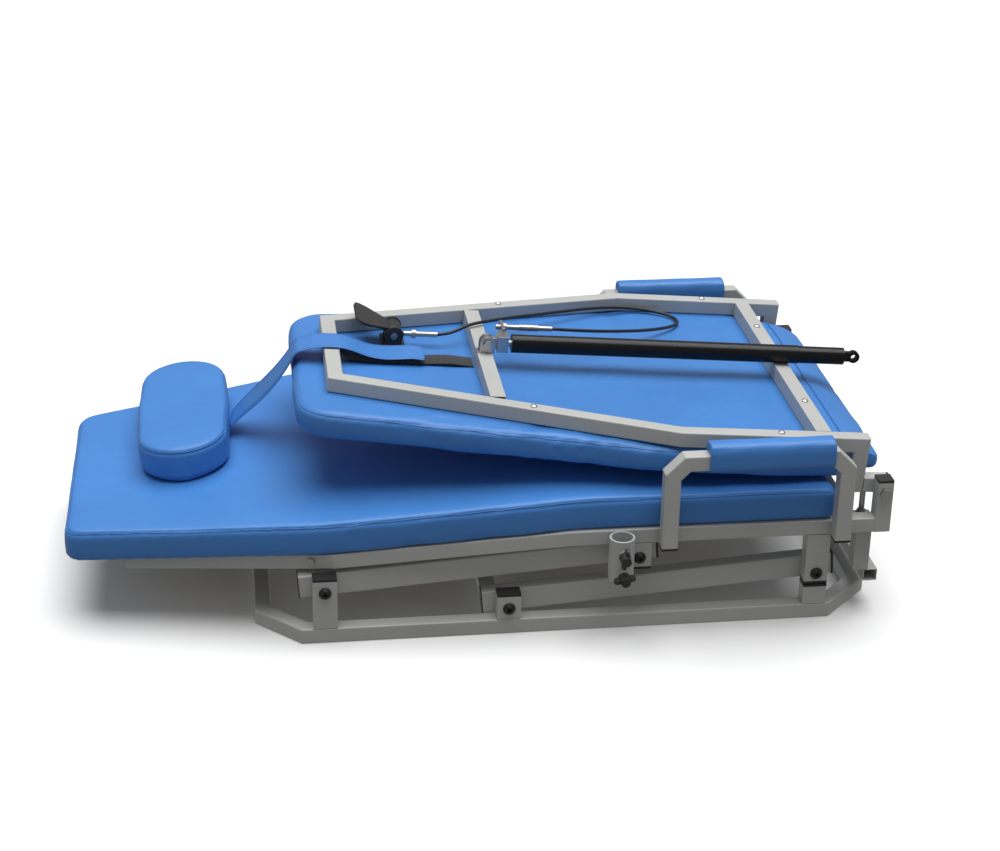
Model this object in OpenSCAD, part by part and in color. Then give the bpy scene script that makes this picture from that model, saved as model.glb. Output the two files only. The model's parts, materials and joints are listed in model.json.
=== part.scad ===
// Folding treatment couch: a base loop, a parallelogram lift, a seat with armrests and a
// backrest that folds face down on to the seat. X runs from the foot end to the hip hinge,
// +Y is the far side, +Z is up, and the drawing is made with X = 0 at the base's foot end.

/* [Tubing] */
// Side of the square frame tube
tube = 22; // [20:1:24]
// Wall of every tube
wall = 1.5; // [1.2:0.1:2]
// Gap at each mitre between two tubes of one frame
weld_gap = 0.2; // [0.1:0.1:0.4]

/* [Base] */
// Length of the base loop
base_length = 865; // [850:5:900]
// Outside width of the base loop and of the seat rails
frame_width = 572; // [560:2:580]
// Corner cut at the foot end of the base
foot_cut = 62; // [50:2:80]
// Corner cut at the hip end of the base
hip_cut = 69; // [50:2:80]

/* [Lift linkage] */
// Front pivot on the base, from the foot end
front_pivot_x = 94.5; // [92:0.5:100]
// Height of the front pivot on the base
front_pivot_z = 77; // [75:0.5:78]
// Rear pivot on the base, from the foot end
rear_pivot_x = 345; // [340:1:352]
// Height of the rear pivot on the base
rear_pivot_z = 39; // [39:0.5:41]
// Leg length between its pivots
leg_length = 430; // [425:1:432]
// Slope of the lowered legs
leg_slope = 4.2; // [4.1:0.1:4.4]
// Width of a post along the frame
post_width = 33; // [30:1:34]
// Height of the leg tube's section
leg_height = 33; // [30:1:33]

/* [Seat] */
// Height of the underside of the flat seat rails
seat_z = 130; // [129:0.5:132]
// Where the flat rails turn down towards the foot end
knee_x = 430; // [420:5:450]
// Slope of the foot part
foot_drop = 5.1; // [4.8:0.1:5.2]
// Length of the foot part's rails from the knee
foot_length = 605; // [580:5:620]
// Thickness of the seat cushion over its board
seat_foam = 39; // [34:1:39]
// Foot end of the seat cushion
seat_pad_foot = -255; // [-265:1:-240]
// Hip end of the seat cushion
seat_pad_hip = 797; // [785:1:800]
// Half width of the seat cushion over the flat rails
seat_pad_half = 284; // [270:1:285]

/* [Backrest] */
// Hip hinge, from the base's foot end
hinge_x = 862; // [860:0.5:864]
// Height of the hip hinge
hinge_z = 190; // [189:0.5:192]
// Slope of the folded backrest
fold_tilt = 4.54; // [4.4:0.02:4.8]
// Rear face of the back frame above the hinge
back_top = 70; // [69:0.5:72]
// Head end of the back frame, from the hinge
back_length = 758; // [740:2:770]
// Outside width of the back frame at the hip
back_width = 526; // [520:1:526]
// Outside width of the back frame at its head end
head_width = 234; // [220:2:250]
// Thickness of the back cushion over its board
back_foam = 33; // [28:1:33]

/* [Armrests] */
// Outside height of an armrest tube
arm_top = 270; // [262:1:275]
// Outside length of an armrest
arm_length = 262; // [250:2:270]
// Foot-side face of an armrest
arm_x = 547.5; // [545:0.5:550]

/* [Gas spring] */
// Outside diameter of the spring's sleeve
sleeve_d = 27; // [26:0.5:28]
// Length from the clevis pin to the free eye
spring_length = 547; // [540:1:550]
// Diameter of the clevis pin and of the eye's pin
spring_pin_d = 8; // [6:1:8]

/* [Pole socket] */
// Outside diameter of the pole socket
socket_d = 35; // [33:1:36]
// Bore of the pole socket
socket_bore = 29; // [26:1:30]
// Length of the pole socket
socket_length = 62; // [58:1:66]

/* [Cable] */
// Outside diameter of the release cable
cable_d = 5; // [4:0.5:6]

/* [Hidden] */
$fn = 48;
clearance = 0.05;        // running clearance on every pin
gap = 0.3;               // space between pieces that only pass each other
half = frame_width / 2;  // outer face of the base and seat rails
leg_y = half - tube - 1; // outer face of the legs
cap_t = 3.5;             // thickness of the plastic end caps
pivot_r = 5;             // shank of the lift pivots
hinge_r = 5;             // shank of the hinge bolts
top_x = leg_length * cos(leg_slope);
top_z = leg_length * sin(leg_slope);
front_top = [front_pivot_x + top_x, front_pivot_z + top_z];
rear_top = [rear_pivot_x + top_x, rear_pivot_z + top_z];
seat_top = seat_z + tube;
board_t = 8.5;
pad_z = seat_top + 0.5 + board_t;
foot_pitch = tan(foot_drop);
rear_face = back_top - tube;      // underside of the back frame, rear face of the back board
back_half = back_width / 2;
back_board_z = rear_face - 0.5 - board_t;
bend_x = -288;                    // where the back rails stop spreading
mid_bar = -538;                   // foot-side faces of the two back crossbars
hip_bar = -97.5;
arm_face = half + 27;             // outer face of an armrest tube
arm_pad = [168, 36, 42];
near_pad_x = 606;
far_pad_x = 592;
arm_pad_z = 245;
socket_x = 494.5;
socket_y = -half - socket_d / 2;
knob_reach = 22;
spring_z = back_top + sleeve_d / 2 + 0.1;
pin_x = mid_bar + tube / 2 + 3;
eye_x = pin_x + spring_length;
eye_r = 9;
sleeve_foot = pin_x + 35;        // visible end of the spring's sleeve
sleeve_start = sleeve_foot + 4;
sleeve_end = -62;
lever = [-652, 64];               // pivot of the release lever on the back frame
lever_y = 59;
strap_y = 12;
strap_w = 52;
strap_fold = [-799, 60];          // where the head strap bends over the cushion's edge
pillow = [-89, 76];
pillow_size = [134, 326, 51];
near_reach = -socket_y + socket_d / 2 + knob_reach;
far_reach = arm_face - tube / 2 + arm_pad[1] / 2;
eye_world = hinge_x + (eye_x + eye_r) * cos(fold_tilt) + spring_z * sin(fold_tilt);
origin_x = (seat_pad_foot + eye_world) / 2;
origin_y = (far_reach - near_reach) / 2;

// Route of the release cable's jacket, from the lever's adjuster to the spring head
CABLE = [
    [-588, 66, 66], [-566, 71, 69], [-538, 88, 75], [-505, 108, 75], [-470, 132, 72],
    [-430, 158, 68], [-385, 186, 64], [-340, 211, 61], [-297, 229, 58], [-256, 236, 55],
    [-222, 229, 53], [-202, 212, 52], [-199, 192, 52], [-212, 170, 54], [-238, 146, 58],
    [-272, 118, 65], [-308, 92, 73], [-345, 68, 81], [-382, 47, 89], [-425, 36, 94]
];
cable_end = CABLE[len(CABLE) - 1];

// ---- placing ----

module place() translate([-origin_x, -origin_y, 0]) children();

module place_back() place() translate([hinge_x, 0, hinge_z]) rotate([0, fold_tilt, 0]) children();

module place_foot() place() translate([knee_x, 0, seat_z]) rotate([0, -foot_drop, 0]) children();

module place_leg(x, z) place() translate([x, 0, z]) rotate([0, -leg_slope, 0]) children();

module both_sides() {
    children();
    mirror([0, 1, 0]) children();
}

// ---- shared shapes ----

// Cylinder along Y from y0 to y1
module rod_y(x, z, y0, y1, r) translate([x, y1, z]) rotate([90, 0, 0]) cylinder(h = y1 - y0, r = r);

// Cylinder along X from x0 to x1
module rod_x(y, z, x0, x1, r) translate([x0, y, z]) rotate([0, 90, 0]) cylinder(h = x1 - x0, r = r);

// Rectangular tube from the corner "at", open at both ends of axis number "along"
module box_tube(at, size, along) {
    grow = [for (i = [0:2]) i == along ? 1 : -wall];
    translate(at) difference() {
        cube(size);
        translate(-grow) cube(size + 2 * grow);
    }
}

function heading(a, b) = (b - a) / norm(b - a);
function left_of(d) = [-d[1], d[0]];

// Offset at corner i of a path that keeps both sides parallel to its tubes
function mitre(p, i, closed) =
    let (
        n = len(p),
        has_in = closed || i > 0,
        has_out = closed || i < n - 1,
        a = left_of(has_in ? heading(p[(i - 1 + n) % n], p[i]) : heading(p[i], p[i + 1])),
        b = left_of(has_out ? heading(p[i], p[(i + 1) % n]) : heading(p[i - 1], p[i]))
    ) (a + b) / (1 + a * b);

function strip(a, b, ma, mb, s) = [a + ma * s, b + mb * s, b - mb * s, a - ma * s];

// Mitred tubes along a path in the XY plane, each a separate solid
module tube_run(path, closed = false) {
    n = len(path);
    for (i = [0 : closed ? n - 1 : n - 2]) {
        j = (i + 1) % n;
        d = heading(path[i], path[j]);
        cut = d * weld_gap / 2;
        ma = mitre(path, i, closed);
        mb = mitre(path, j, closed);
        difference() {
            linear_extrude(tube) polygon(strip(path[i] + cut, path[j] - cut, ma, mb, tube / 2));
            translate([0, 0, wall]) linear_extrude(tube - 2 * wall)
                polygon(strip(path[i] - d, path[j] + d, ma, mb, tube / 2 - wall));
        }
    }
}

// Flat band of the given thickness along a path in the XZ plane, as wide as w along Y
module band(path, w, t) {
    n = len(path);
    rotate([90, 0, 0]) translate([0, 0, -w / 2]) linear_extrude(w) polygon(concat(
        [for (i = [0 : n - 1]) path[i] + mitre(path, i, false) * t / 2],
        [for (i = [n - 1 : -1 : 0]) path[i] - mitre(path, i, false) * t / 2]
    ));
}

// Low round bolt head with a hex socket, on the face at y and pointing to -Y
module button_head(x, y, z, r, h) translate([x, y, z]) rotate([90, 0, 0]) difference() {
    union() {
        cylinder(h = h * 0.4, r = r);
        translate([0, 0, h * 0.4]) cylinder(h = h * 0.6, r1 = r, r2 = r * 0.6);
    }
    translate([0, 0, h * 0.4]) cylinder(h = h, r = r * 0.38, $fn = 6);
}

// Hex nut or head along Y from y0 to y1
module hex_y(x, z, y0, y1, r) translate([x, y1, z]) rotate([90, 0, 0]) cylinder(h = y1 - y0, r = r, $fn = 6);

// Pan head on a horizontal face
module pan_head(x, y, z, r) translate([x, y, z]) {
    cylinder(h = r * 0.35, r = r);
    translate([0, 0, r * 0.35]) cylinder(h = r * 0.35, r1 = r, r2 = r * 0.5);
}

// Corner of an outline rounded with radius r, between the neighbours a and b
function rounded(a, c, b, r) =
    let (
        u = heading(c, a), v = heading(c, b),
        open = acos(u * v),
        reach = r / tan(open / 2),
        mid = c + heading([0, 0], u + v) * r / sin(open / 2),
        s = c + u * reach - mid,
        e = c + v * reach - mid
    ) [for (k = [0 : 4]) mid + r * heading([0, 0], s * sin(90 * (1 - k / 4)) + e * sin(90 * k / 4))];

// Symmetric outline from its far half, listed from the foot end to the hip end
function mirrored(h) = concat(h, [for (i = [len(h) - 1 : -1 : 0]) [h[i][0], -h[i][1]]]);

// ---- base ----

BASE = [
    [foot_cut, -half], [base_length - hip_cut, -half],
    [base_length, -half + hip_cut], [base_length, half - hip_cut],
    [base_length - hip_cut, half], [foot_cut, half],
    [0, half - foot_cut], [0, -half + foot_cut]
];

// The outline is the tubes' outer side, so the centre line is moved half a tube inwards
BASE_LINE = [for (i = [0 : len(BASE) - 1]) BASE[i] + mitre(BASE, i, true) * tube / 2];

module base_loop() color("gray") place() tube_run(BASE_LINE, closed = true);

module post(x, z0, z1, pivot_z) difference() {
    box_tube([x - post_width / 2, -half, z0], [post_width, tube, z1 - z0], 2);
    rod_y(x, pivot_z, -half - 1, -half + tube + 1, pivot_r + clearance);
}

module front_posts() color("gray") place() both_sides()
    post(front_pivot_x, tube, 94, front_pivot_z);

module rear_posts() color("gray") place() both_sides()
    post(rear_pivot_x, tube, 57, rear_pivot_z);

module rest_stubs() color("gray") place() both_sides()
    box_tube([rear_top[0] - post_width / 2, -half, tube], [post_width, tube, 27], 2);

module cap_z(x, y, z, w) translate([x - w / 2, y, z]) cube([w, tube, cap_t]);

module base_caps() color("black") place() both_sides() {
    cap_z(front_pivot_x, -half, 94, post_width);
    cap_z(rear_pivot_x, -half, 57, post_width);
    cap_z(rear_top[0], -half, tube + 27, post_width);
}

// Bolt through a post and the leg inside it
module pivot_bolt(x, z) {
    button_head(x, -half, z, 8.5, 5.5);
    rod_y(x, z, -half, -leg_y + tube + 1, pivot_r);
}

module pivot_nut(x, z) difference() {
    hex_y(x, z, -leg_y + tube + 0.5, -leg_y + tube + 7.5, 7.5);
    rod_y(x, z, -half, -leg_y + tube + 1, pivot_r);
}

module lower_pivot_bolts() color("black") place() both_sides() {
    pivot_bolt(front_pivot_x, front_pivot_z);
    pivot_bolt(rear_pivot_x, rear_pivot_z);
}

module lower_pivot_nuts() color("silver") place() both_sides() {
    pivot_nut(front_pivot_x, front_pivot_z);
    pivot_nut(rear_pivot_x, rear_pivot_z);
}

// ---- legs ----

leg_tail = 34;   // length past the lower pivot
leg_nose = 27;   // length past the upper pivot
leg_bore = pivot_r + clearance;
open_bore = pivot_r + 0.3;   // the parallelogram is opened at the rear leg's upper pivot

module leg_tube(upper_bore) difference() {
    box_tube([-leg_tail, -leg_y, -leg_height / 2], [leg_tail + leg_length + leg_nose, tube, leg_height], 0);
    rod_y(0, 0, -leg_y - 1, -leg_y + tube + 1, leg_bore);
    rod_y(leg_length, 0, -leg_y - 1, -leg_y + tube + 1, upper_bore);
}

module leg_crossbar() box_tube(
    [-leg_tail, -leg_y + tube + gap, -tube / 2], [tube, 2 * (leg_y - tube - gap), tube], 1);

module leg_caps() both_sides() {
    translate([leg_length + leg_nose, -leg_y, -leg_height / 2]) cube([cap_t, tube, leg_height]);
    translate([-leg_tail - 1.5, -leg_y, -leg_height / 2]) cube([1.5, tube, leg_height]);
}

module front_leg_tubes() color("gray") place_leg(front_pivot_x, front_pivot_z)
    both_sides() leg_tube(leg_bore);

module front_leg_crossbar() color("gray") place_leg(front_pivot_x, front_pivot_z) leg_crossbar();

module front_leg_caps() color("black") place_leg(front_pivot_x, front_pivot_z) leg_caps();

module rear_leg_tubes() color("gray") place_leg(rear_pivot_x, rear_pivot_z)
    both_sides() leg_tube(open_bore);

module rear_leg_crossbar() color("gray") place_leg(rear_pivot_x, rear_pivot_z) leg_crossbar();

module rear_leg_caps() color("black") place_leg(rear_pivot_x, rear_pivot_z) leg_caps();

// ---- seat frame ----

foot_turn = -321;    // where the foot rails start to close in
foot_half = 180;     // half spacing of the foot rails at their end
turn_half = 254;
rail_mid = half - tube / 2;

knee_trim = 4;       // the rails are drawn this much past the knee, then mitred there

FOOT_LINE = [
    [knee_trim, -rail_mid], [foot_turn, -turn_half], [-foot_length + tube / 2, -foot_half],
    [-foot_length + tube / 2, foot_half], [foot_turn, turn_half], [knee_trim, rail_mid]
];

// Everything on the foot side (-1) or the hip side (1) of the knee's mitre plane
module knee_side(side) {
    reach = 2 * foot_length;
    place() translate([knee_x, 0, seat_z]) rotate([0, -foot_drop / 2, 0])
        translate([side > 0 ? weld_gap / 2 : -reach - weld_gap / 2, -frame_width, -reach / 2])
            cube([reach, 2 * frame_width, reach]);
}

module seat_rails() color("gray") {
    intersection() {
        place() both_sides() box_tube([knee_x - knee_trim, -half, seat_z],
            [hinge_x - tube / 2 - weld_gap - knee_x + knee_trim, tube, tube], 0);
        knee_side(1);
    }
    intersection() {
        place_foot() tube_run(FOOT_LINE);
        knee_side(-1);
    }
}

module seat_crossbars() color("gray") {
    inner = half - tube - gap;
    place() for (x = [560, 805]) box_tube([x, -inner, seat_z], [tube, 2 * inner, tube], 1);
    turn_inner = turn_half - tube / 2 - 4;
    place_foot() box_tube([foot_turn - tube / 2, -turn_inner, 0], [tube, 2 * turn_inner, tube], 1);
}

module hanger(top, z0) difference() {
    box_tube([top[0] - post_width / 2, -half, z0], [post_width, tube, seat_z - z0], 2);
    rod_y(top[0], top[1], -half - 1, -half + tube + 1, pivot_r + clearance);
}

front_hanger_z = 94;
rear_hanger_z = 57.5;
post_top = 205;

module front_hangers() color("gray") place() both_sides() hanger(front_top, front_hanger_z);

module rear_hangers() color("gray") place() both_sides() hanger(rear_top, rear_hanger_z);

module seat_caps() color("black") place() both_sides() {
    cap_z(front_top[0], -half, front_hanger_z - cap_t, post_width);
    cap_z(rear_top[0], -half, rear_hanger_z - cap_t, post_width);
    cap_z(hinge_x, -half, post_top, tube);
}

module upper_pivot_bolts() color("black") place() both_sides() {
    pivot_bolt(front_top[0], front_top[1]);
    pivot_bolt(rear_top[0], rear_top[1]);
}

module upper_pivot_nuts() color("silver") place() both_sides() {
    pivot_nut(front_top[0], front_top[1]);
    pivot_nut(rear_top[0], rear_top[1]);
}

module hinge_posts() color("gray") place() both_sides() difference() {
    box_tube([hinge_x - tube / 2, -half, seat_z], [tube, tube, post_top - seat_z], 2);
    rod_y(hinge_x, hinge_z, -half - 1, -half + tube + 1, hinge_r + clearance);
}

// Hinge bolt with its hex head outside the post and its nut inside the backrest's stub
module hinge_bolts() color("silver") place() both_sides() {
    hex_y(hinge_x, hinge_z, -half - 6, -half, 8.5);
    rod_y(hinge_x, hinge_z, -half - 0.01, -leg_y + tube + 1, hinge_r);
    hex_y(hinge_x, hinge_z, -leg_y + tube + 0.5, -leg_y + tube + 7, 8);
}

drop_x = 833;
drop_z = 60;
drop_top = 141;

module drop_tubes() color("gray") place() both_sides()
    box_tube([drop_x, -half + tube, drop_z], [tube, tube, drop_top - drop_z], 2);

// Stop screw and lock nut under the folded backrest's stub, on a plate that closes the tube
module stop_bolts() color("silver") place() both_sides() translate([drop_x + 8, -leg_y + tube / 2, drop_top]) {
    translate([-8, -10, 0]) cube([tube, tube - 2, 2]);
    translate([0, 0, 2]) cylinder(h = 37, r = 4);
    translate([0, 0, 2]) cylinder(h = 6, r = 7, $fn = 6);
}

anchor = [849, 42];
anchor_size = [20, 17.8];
lug_x = anchor[0] + anchor_size[0];
lug_eye = [lug_x + 11, anchor[1] + 9];

// Cross tube under the hip end with the two ears that take the gas spring's eye in use
module anchor_tube() color("gray") place() {
    box_tube([anchor[0], -half + tube, anchor[1]],
        [anchor_size[0], 2 * (half - tube), anchor_size[1]], 1);
    both_sides() difference() {
        translate([lug_x + 0.1, -9, anchor[1]]) cube([20, 4, 18]);
        rod_y(lug_eye[0], lug_eye[1], -10, -4, spring_pin_d / 2 + clearance);
    }
}

// ---- seat cushion ----

function foot_z(x, z) = z - (knee_x - x) * foot_pitch;

// Side view of a slab that follows the rails from the hip end down to the foot end
module seat_slab(x0, x1, z0, z1) rotate([90, 0, 0]) translate([0, 0, -half]) linear_extrude(frame_width)
    polygon([
        [x0, foot_z(x0, z0)], [knee_x, z0], [x1, z0],
        [x1, z1], [knee_x, z1], [x0, foot_z(x0, z1)]
    ]);

SEAT_HALF = [
    [seat_pad_foot, 0], [seat_pad_foot, 192], [90, 268], [380, seat_pad_half], [seat_pad_hip, seat_pad_half]
];

SEAT_OUTLINE = mirrored(concat(
    rounded(SEAT_HALF[0], SEAT_HALF[1], SEAT_HALF[2], 36),
    [SEAT_HALF[2], SEAT_HALF[3]],
    rounded(SEAT_HALF[3], SEAT_HALF[4], [seat_pad_hip, 0], 12)
));

module seat_pad() color("royalblue") place() intersection() {
    linear_extrude(300) polygon(SEAT_OUTLINE);
    seat_slab(seat_pad_foot, seat_pad_hip, pad_z, pad_z + seat_foam);
}

board_inset = 14;

module seat_board() color("tan") place() intersection() {
    linear_extrude(300) polygon(mirrored([
        [seat_pad_foot + board_inset, 160], [90 - board_inset / 2, 268 - board_inset],
        [380, seat_pad_half - board_inset], [seat_pad_hip - board_inset, seat_pad_half - board_inset]
    ]));
    seat_slab(seat_pad_foot, seat_pad_hip, pad_z - board_t, pad_z);
}

// Side screws that hold the seat board's edge on the foot rails
module seat_side_bolts() color("silver") place() both_sides() translate([78, -257.2, 112])
    rotate([0, 0, -14.5]) hex_y(0, 0, -4, 0, 5.5);

// ---- pole socket ----

socket_z = seat_top - 1 - socket_length;
knob_z = [socket_z + 43, socket_z + 12];
boss_t = 5;
wing_x = 9;      // centre of a wing, from the screw
wing_r = 6.2;    // two knobs turn past each other
wing_t = 4.4;

module socket_boss(z) rod_y(socket_x, z, socket_y - socket_d / 2 - boss_t, socket_y - socket_d / 2 + 3, 6);

module pole_socket() color("gray") place() difference() {
    union() {
        translate([socket_x, socket_y, socket_z]) cylinder(h = socket_length, d = socket_d);
        for (z = knob_z) socket_boss(z);
    }
    translate([socket_x, socket_y, socket_z - 1]) cylinder(h = socket_length + 2, d = socket_bore);
    for (z = knob_z) rod_y(socket_x, z, socket_y - socket_d, socket_y, 3 + clearance);
}

// Wing knob on the socket's front, turned by "turn" about its screw
module wing_knob(z, turn) {
    face = socket_y - socket_d / 2;
    rod_y(socket_x, z, face - boss_t - 2, face + 2.5, 3);
    translate([socket_x, face - boss_t - gap, z]) rotate([90, 0, 0]) rotate([0, 0, turn]) {
        cylinder(h = knob_reach - boss_t - gap, r1 = 8, r2 = 6.5);
        for (side = [-1, 1]) rod_y(side * wing_x, 6, -wing_t / 2, wing_t / 2, wing_r);
    }
}

module upper_wing_knob() color("black") place() wing_knob(knob_z[0], 80);

module lower_wing_knob() color("black") place() wing_knob(knob_z[1], 10);

// ---- armrests ----

arm_bend = 19;
arm_mid_top = arm_top - tube / 2;
arm_foot = 134;
arm_a = arm_x + tube / 2;
arm_b = arm_x + arm_length - tube / 2;

ARM_LINE = [
    [arm_a, arm_foot], [arm_a, arm_mid_top - arm_bend], [arm_a + arm_bend, arm_mid_top],
    [arm_b - arm_bend, arm_mid_top], [arm_b, arm_mid_top - arm_bend], [arm_b, arm_foot]
];

module armrest_frames() color("gray") place() both_sides()
    translate([0, -arm_face + tube, 0]) rotate([90, 0, 0]) tube_run(ARM_LINE);

// Cushion wrapped round the armrest tube, with its foot end at x
module armrest_pad(x) {
    mid_y = -arm_face + tube / 2;
    r = 14;
    difference() {
        translate([x, mid_y - arm_pad[1] / 2, arm_pad_z]) union() {
            cube([arm_pad[0], arm_pad[1], arm_pad[2] - r]);
            translate([0, r, 0]) cube([arm_pad[0], arm_pad[1] - 2 * r, arm_pad[2]]);
            for (y = [r, arm_pad[1] - r]) rod_x(y, arm_pad[2] - r, 0, arm_pad[0], r);
        }
        translate([x - 1, -arm_face - gap, arm_top - tube - gap])
            cube([arm_pad[0] + 2, tube + 2 * gap, tube + 2 * gap]);
    }
}

module near_armrest_pad() color("royalblue") place() armrest_pad(near_pad_x);

module far_armrest_pad() color("royalblue") place() mirror([0, 1, 0]) armrest_pad(far_pad_x);

module armrest_caps() color("black") place() both_sides()
    for (x = [arm_a, arm_b]) cap_z(x, -arm_face, arm_foot - cap_t, tube);

module armrest_standoffs() color("silver") place() both_sides()
    for (x = [arm_a, arm_b]) rod_y(x, seat_z + tube / 2 + 2, -arm_face + tube, -half, 7);

// ---- back frame ----

rail_line = back_half - tube / 2;
head_line = head_width / 2 - 9;

BACK_LINE = [
    [hip_bar + tube, -rail_line], [bend_x, -rail_line], [-back_length + tube / 2, -head_line],
    [-back_length + tube / 2, head_line], [bend_x, rail_line], [hip_bar + tube, rail_line]
];

module back_rails() color("gray") place_back() translate([0, 0, rear_face]) tube_run(BACK_LINE);

// Half width inside the back rails at x
function bay_half(x) = x > bend_x ? back_half - tube
    : back_half - tube - 1 - (bend_x - x) * (rail_line - head_line) / (back_length - tube / 2 + bend_x);

module back_crossbars() color("gray") place_back() for (x = [mid_bar, hip_bar]) {
    inner = bay_half(x) - gap;
    box_tube([x, -inner, rear_face], [tube, 2 * inner, tube], 1);
}

arm_local_x = -36;   // centre line of the arms that carry the hinge stubs
stub_end = 11;

module hinge_arms() color("gray") place_back() both_sides() {
    translate([0, -back_half + tube, 0]) rotate([90, 0, 0]) tube_run([
        [hip_bar + tube + weld_gap, back_top - tube / 2], [arm_local_x, back_top - tube / 2],
        [arm_local_x, -tube / 2]
    ]);
    difference() {
        box_tube([arm_local_x + tube / 2 + weld_gap, -back_half, -tube / 2],
            [stub_end - arm_local_x - tube / 2 - weld_gap, tube, tube], 0);
        rod_y(0, 0, -back_half - 1, -back_half + tube + 1, hinge_r + clearance);
    }
}

module hinge_arm_caps() color("black") place_back() both_sides()
    translate([stub_end, -back_half, -tube / 2]) cube([cap_t, tube, tube]);

// ---- back cushion ----

back_foot = -802;
cushion_lip = 8;       // the cushion's lower edge reaches past the hinge line
hip_notch = -52;       // the cushion narrows here to pass between the hinge arms
hip_half = 233;

BACK_HALF = [[back_foot, 0], [back_foot, 181], [-310, 266], [hip_notch, 266]];

BACK_OUTLINE = mirrored(concat(
    rounded(BACK_HALF[0], BACK_HALF[1], BACK_HALF[2], 56),
    [BACK_HALF[2]],
    [BACK_HALF[3], [hip_notch, hip_half], [cushion_lip, hip_half]]
));

// The hip end slopes from the board's edge down to the lip
module back_pad() color("royalblue") place_back() intersection() {
    translate([0, 0, back_board_z - back_foam]) linear_extrude(back_foam) polygon(BACK_OUTLINE);
    rotate([90, 0, 0]) translate([0, 0, -half]) linear_extrude(frame_width) polygon([
        [back_foot, back_board_z - back_foam], [cushion_lip, back_board_z - back_foam],
        [cushion_lip, back_board_z - 12], [-40, back_board_z], [back_foot, back_board_z]
    ]);
}

module back_board() color("tan") place_back() translate([0, 0, back_board_z]) linear_extrude(board_t)
    polygon(mirrored([
        [back_foot + board_inset, 145], [back_foot + 3 * board_inset, 181],
        [-310, 266 - board_inset], [hip_notch, 266 - board_inset]
    ]));

SCREWS = [[-482, rail_line - 60], [-149, rail_line], [hip_bar + tube / 2, 141]];

module back_screws() color("silver") place_back() both_sides() for (s = SCREWS)
    pan_head(s[0], s[1], back_top, 4.5);

// ---- release lever ----

lever_r = 14;
barrel = [lever_y + 6, lever_y + 39];

module lever_bracket() color("dimgray") place_back() difference() {
    union() {
        translate([lever[0] - 17, lever_y - 2, rear_face]) cube([34, 49, 2]);
        for (y = [lever_y, lever_y + 40]) {
            rod_y(lever[0], lever[1], y, y + 5, lever_r);
            translate([lever[0] - 12, y, rear_face + 1]) cube([24, 5, 10]);
        }
    }
    rod_y(lever[0], lever[1], lever_y - 1, lever_y + 46, 3 + clearance);
}

module lever_pin() color("silver") place_back() {
    rod_y(lever[0], lever[1], lever_y - 0.01, lever_y + 46, 3);
    rod_y(lever[0], lever[1], lever_y - 2.5, lever_y, 5);
}

// Barrel on the lever pin with a wide paddle that stands up towards the head end
module release_lever() color("dimgray") place_back() difference() {
    union() {
        rod_y(lever[0], lever[1], barrel[0], barrel[1], 13);
        translate([lever[0], 0, lever[1]]) rotate([0, 22, 0]) {
            translate([-34, barrel[0] + 4, 2]) cube([28, 25, 5]);
            translate([-64, 40, 4]) cube([34, 78, 3]);
        }
    }
    rod_y(lever[0], lever[1], barrel[0] - 1, barrel[1] + 1, 3 + clearance);
}

module lever_cable_fitting() color("silver") place_back() {
    rod_x(CABLE[0][1], CABLE[0][2], lever[0] + lever_r + gap, CABLE[0][0], 4);
    rod_x(CABLE[0][1], CABLE[0][2], lever[0] + lever_r + 12, lever[0] + lever_r + 18, 6.5);
}

// ---- cable ----

// Catmull-Rom point between p[i] and p[i + 1]
function spline(p, i, t) =
    let (
        a = p[max(i - 1, 0)], b = p[i], c = p[i + 1], d = p[min(i + 2, len(p) - 1)]
    ) 0.5 * (2 * b + (c - a) * t + (2 * a - 5 * b + 4 * c - d) * t * t
        + (3 * b - a - 3 * c + d) * t * t * t);

steps = 3;
cable_sides = 8;
CABLE_LINE = concat(
    [for (i = [0 : len(CABLE) - 2], k = [0 : steps - 1]) spline(CABLE, i, k / steps)],
    [CABLE[len(CABLE) - 1]]
);

// One ring of the jacket at point i, square to the route
function ring(p, i, r) =
    let (
        along = i == 0 || i == len(p) - 1 ? [1, 0, 0] * (i == 0 ? 1 : -1)
            : heading(p[i - 1], p[i + 1]),
        side = heading([0, 0, 0], cross(along, [0, 0, 1])),
        up = cross(side, along)
    ) [for (k = [0 : cable_sides - 1]) p[i] + r * (cos(360 * k / cable_sides) * side
        + sin(360 * k / cable_sides) * up)];

module cable_jacket() color("black") place_back() {
    n = len(CABLE_LINE);
    m = cable_sides;
    polyhedron(
        points = [for (i = [0 : n - 1]) each ring(CABLE_LINE, i, cable_d / 2)],
        faces = concat(
            [[for (k = [0 : m - 1]) k]],
            [for (i = [0 : n - 2], k = [0 : m - 1])
                [i * m + k, (i + 1) * m + k, (i + 1) * m + (k + 1) % m, i * m + (k + 1) % m]],
            [[for (k = [m - 1 : -1 : 0]) (n - 1) * m + k]]
        )
    );
}

// ---- head strap and pillow ----

strap_t = 2.2;
strap_end = strap_fold + (strap_t / 2 + 0.4) * heading(strap_fold, [-762, back_top + 2]);
STRAP = [strap_end, [-762, back_top + 2], [-731, back_top + 2], [-668, rear_face + 3], [-616, rear_face + 3]];

module head_strap() color("royalblue") place_back() translate([0, strap_y, 0]) band(STRAP, strap_w, strap_t);

tape_start = -733;   // inner face of the head bar
tape_w = 34;

// Hook tape under the strap, from the head bar to the middle crossbar
module hook_tape() color("black") place_back() translate([tape_start, strap_y - 22, rear_face + 0.2])
    cube([mid_bar - 3 - tape_start, tape_w, 1.4]);

// Centre of the strap's fold in the drawing's own axes
fold_x = hinge_x + strap_fold[0] * cos(fold_tilt) + strap_fold[1] * sin(fold_tilt);
fold_z = hinge_z - strap_fold[0] * sin(fold_tilt) + strap_fold[1] * cos(fold_tilt);
pillow_lift = 1.5;     // lowest point of the pillow above the seat cushion
pillow_z = foot_z(pillow[0], pad_z + seat_foam) + pillow_lift;

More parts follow.
